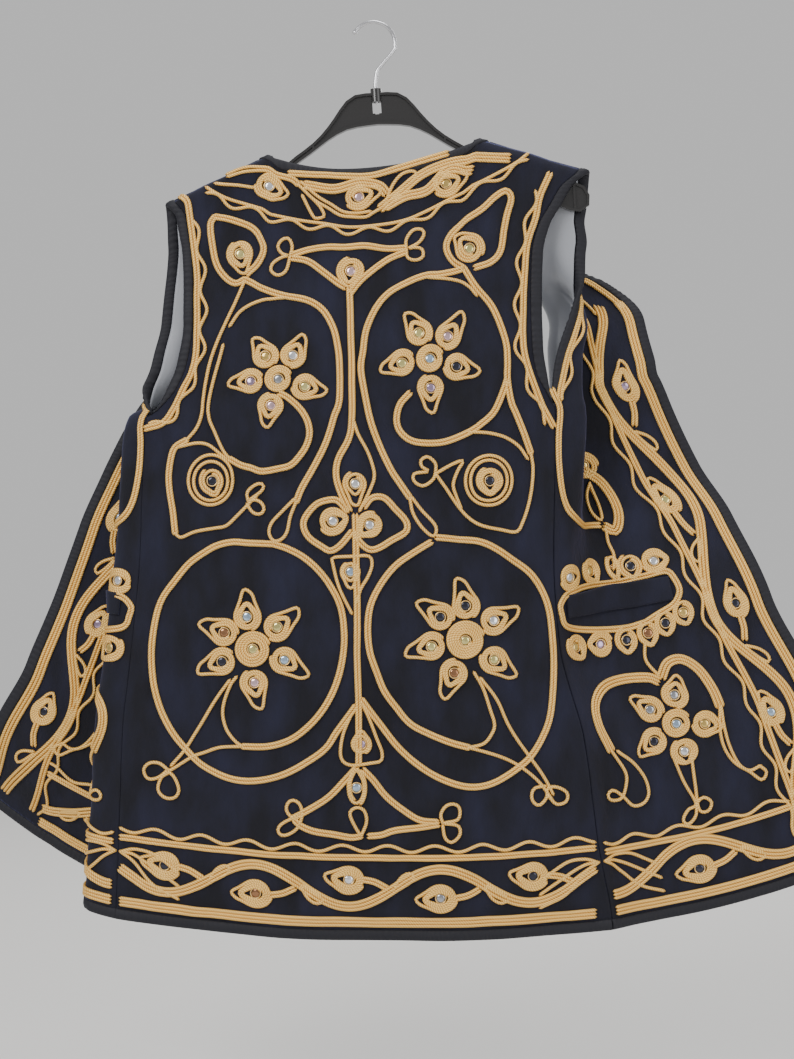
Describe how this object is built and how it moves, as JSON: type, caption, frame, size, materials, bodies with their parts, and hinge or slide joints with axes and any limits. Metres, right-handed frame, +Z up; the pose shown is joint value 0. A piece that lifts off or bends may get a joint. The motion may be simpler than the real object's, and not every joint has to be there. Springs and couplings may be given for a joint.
{
  "type": "embroidered velvet waistcoat on a hanger",
  "caption": "Sleeveless velvet waistcoat with couched cord and mirror embroidery, hanging back to the viewer on a plastic hanger with a wire hook, its fronts swung outwards.",
  "frame": {"origin": "the highest inside point of the hanger's hook, where it hangs on its nail or rail", "axes": "+Z up, +X to the right across the garment's back as the viewer sees it, +Y from the viewer through the back towards the fronts"},
  "size_m": [0.8491, 0.1351, 0.8338],
  "materials": {
    "velvet": "dark navy cotton velvet, blue sheen, lightly crushed",
    "satin": "dark grey lining satin, soft gloss",
    "binding": "dark navy velvet binding, puckered",
    "cord": "braided gold metallic cord, couched down",
    "mirror": "small round mirrors and coloured foils",
    "rim": "pale metal rims",
    "thread": "white tacking thread",
    "plastic": "black moulded plastic",
    "wire": "chromed steel wire"
  },
  "bodies": {
    "root": {"velvet_back": "velvet", "velvet_front_left": "velvet", "velvet_front_right": "velvet", "pocket_lip_left": "velvet", "pocket_lip_right": "velvet", "lining_back": "satin", "lining_front_left": "satin", "lining_front_right": "satin", "binding_neck": "binding", "binding_hem_back": "binding", "binding_hem_front_left": "binding", "binding_hem_front_right": "binding", "binding_front_edge_left": "binding", "binding_front_edge_right": "binding", "binding_armhole_left": "binding", "binding_armhole_right": "binding", "hanger_body": "plastic", "hanger_hook": "wire"}
  },
  "joints": []
}
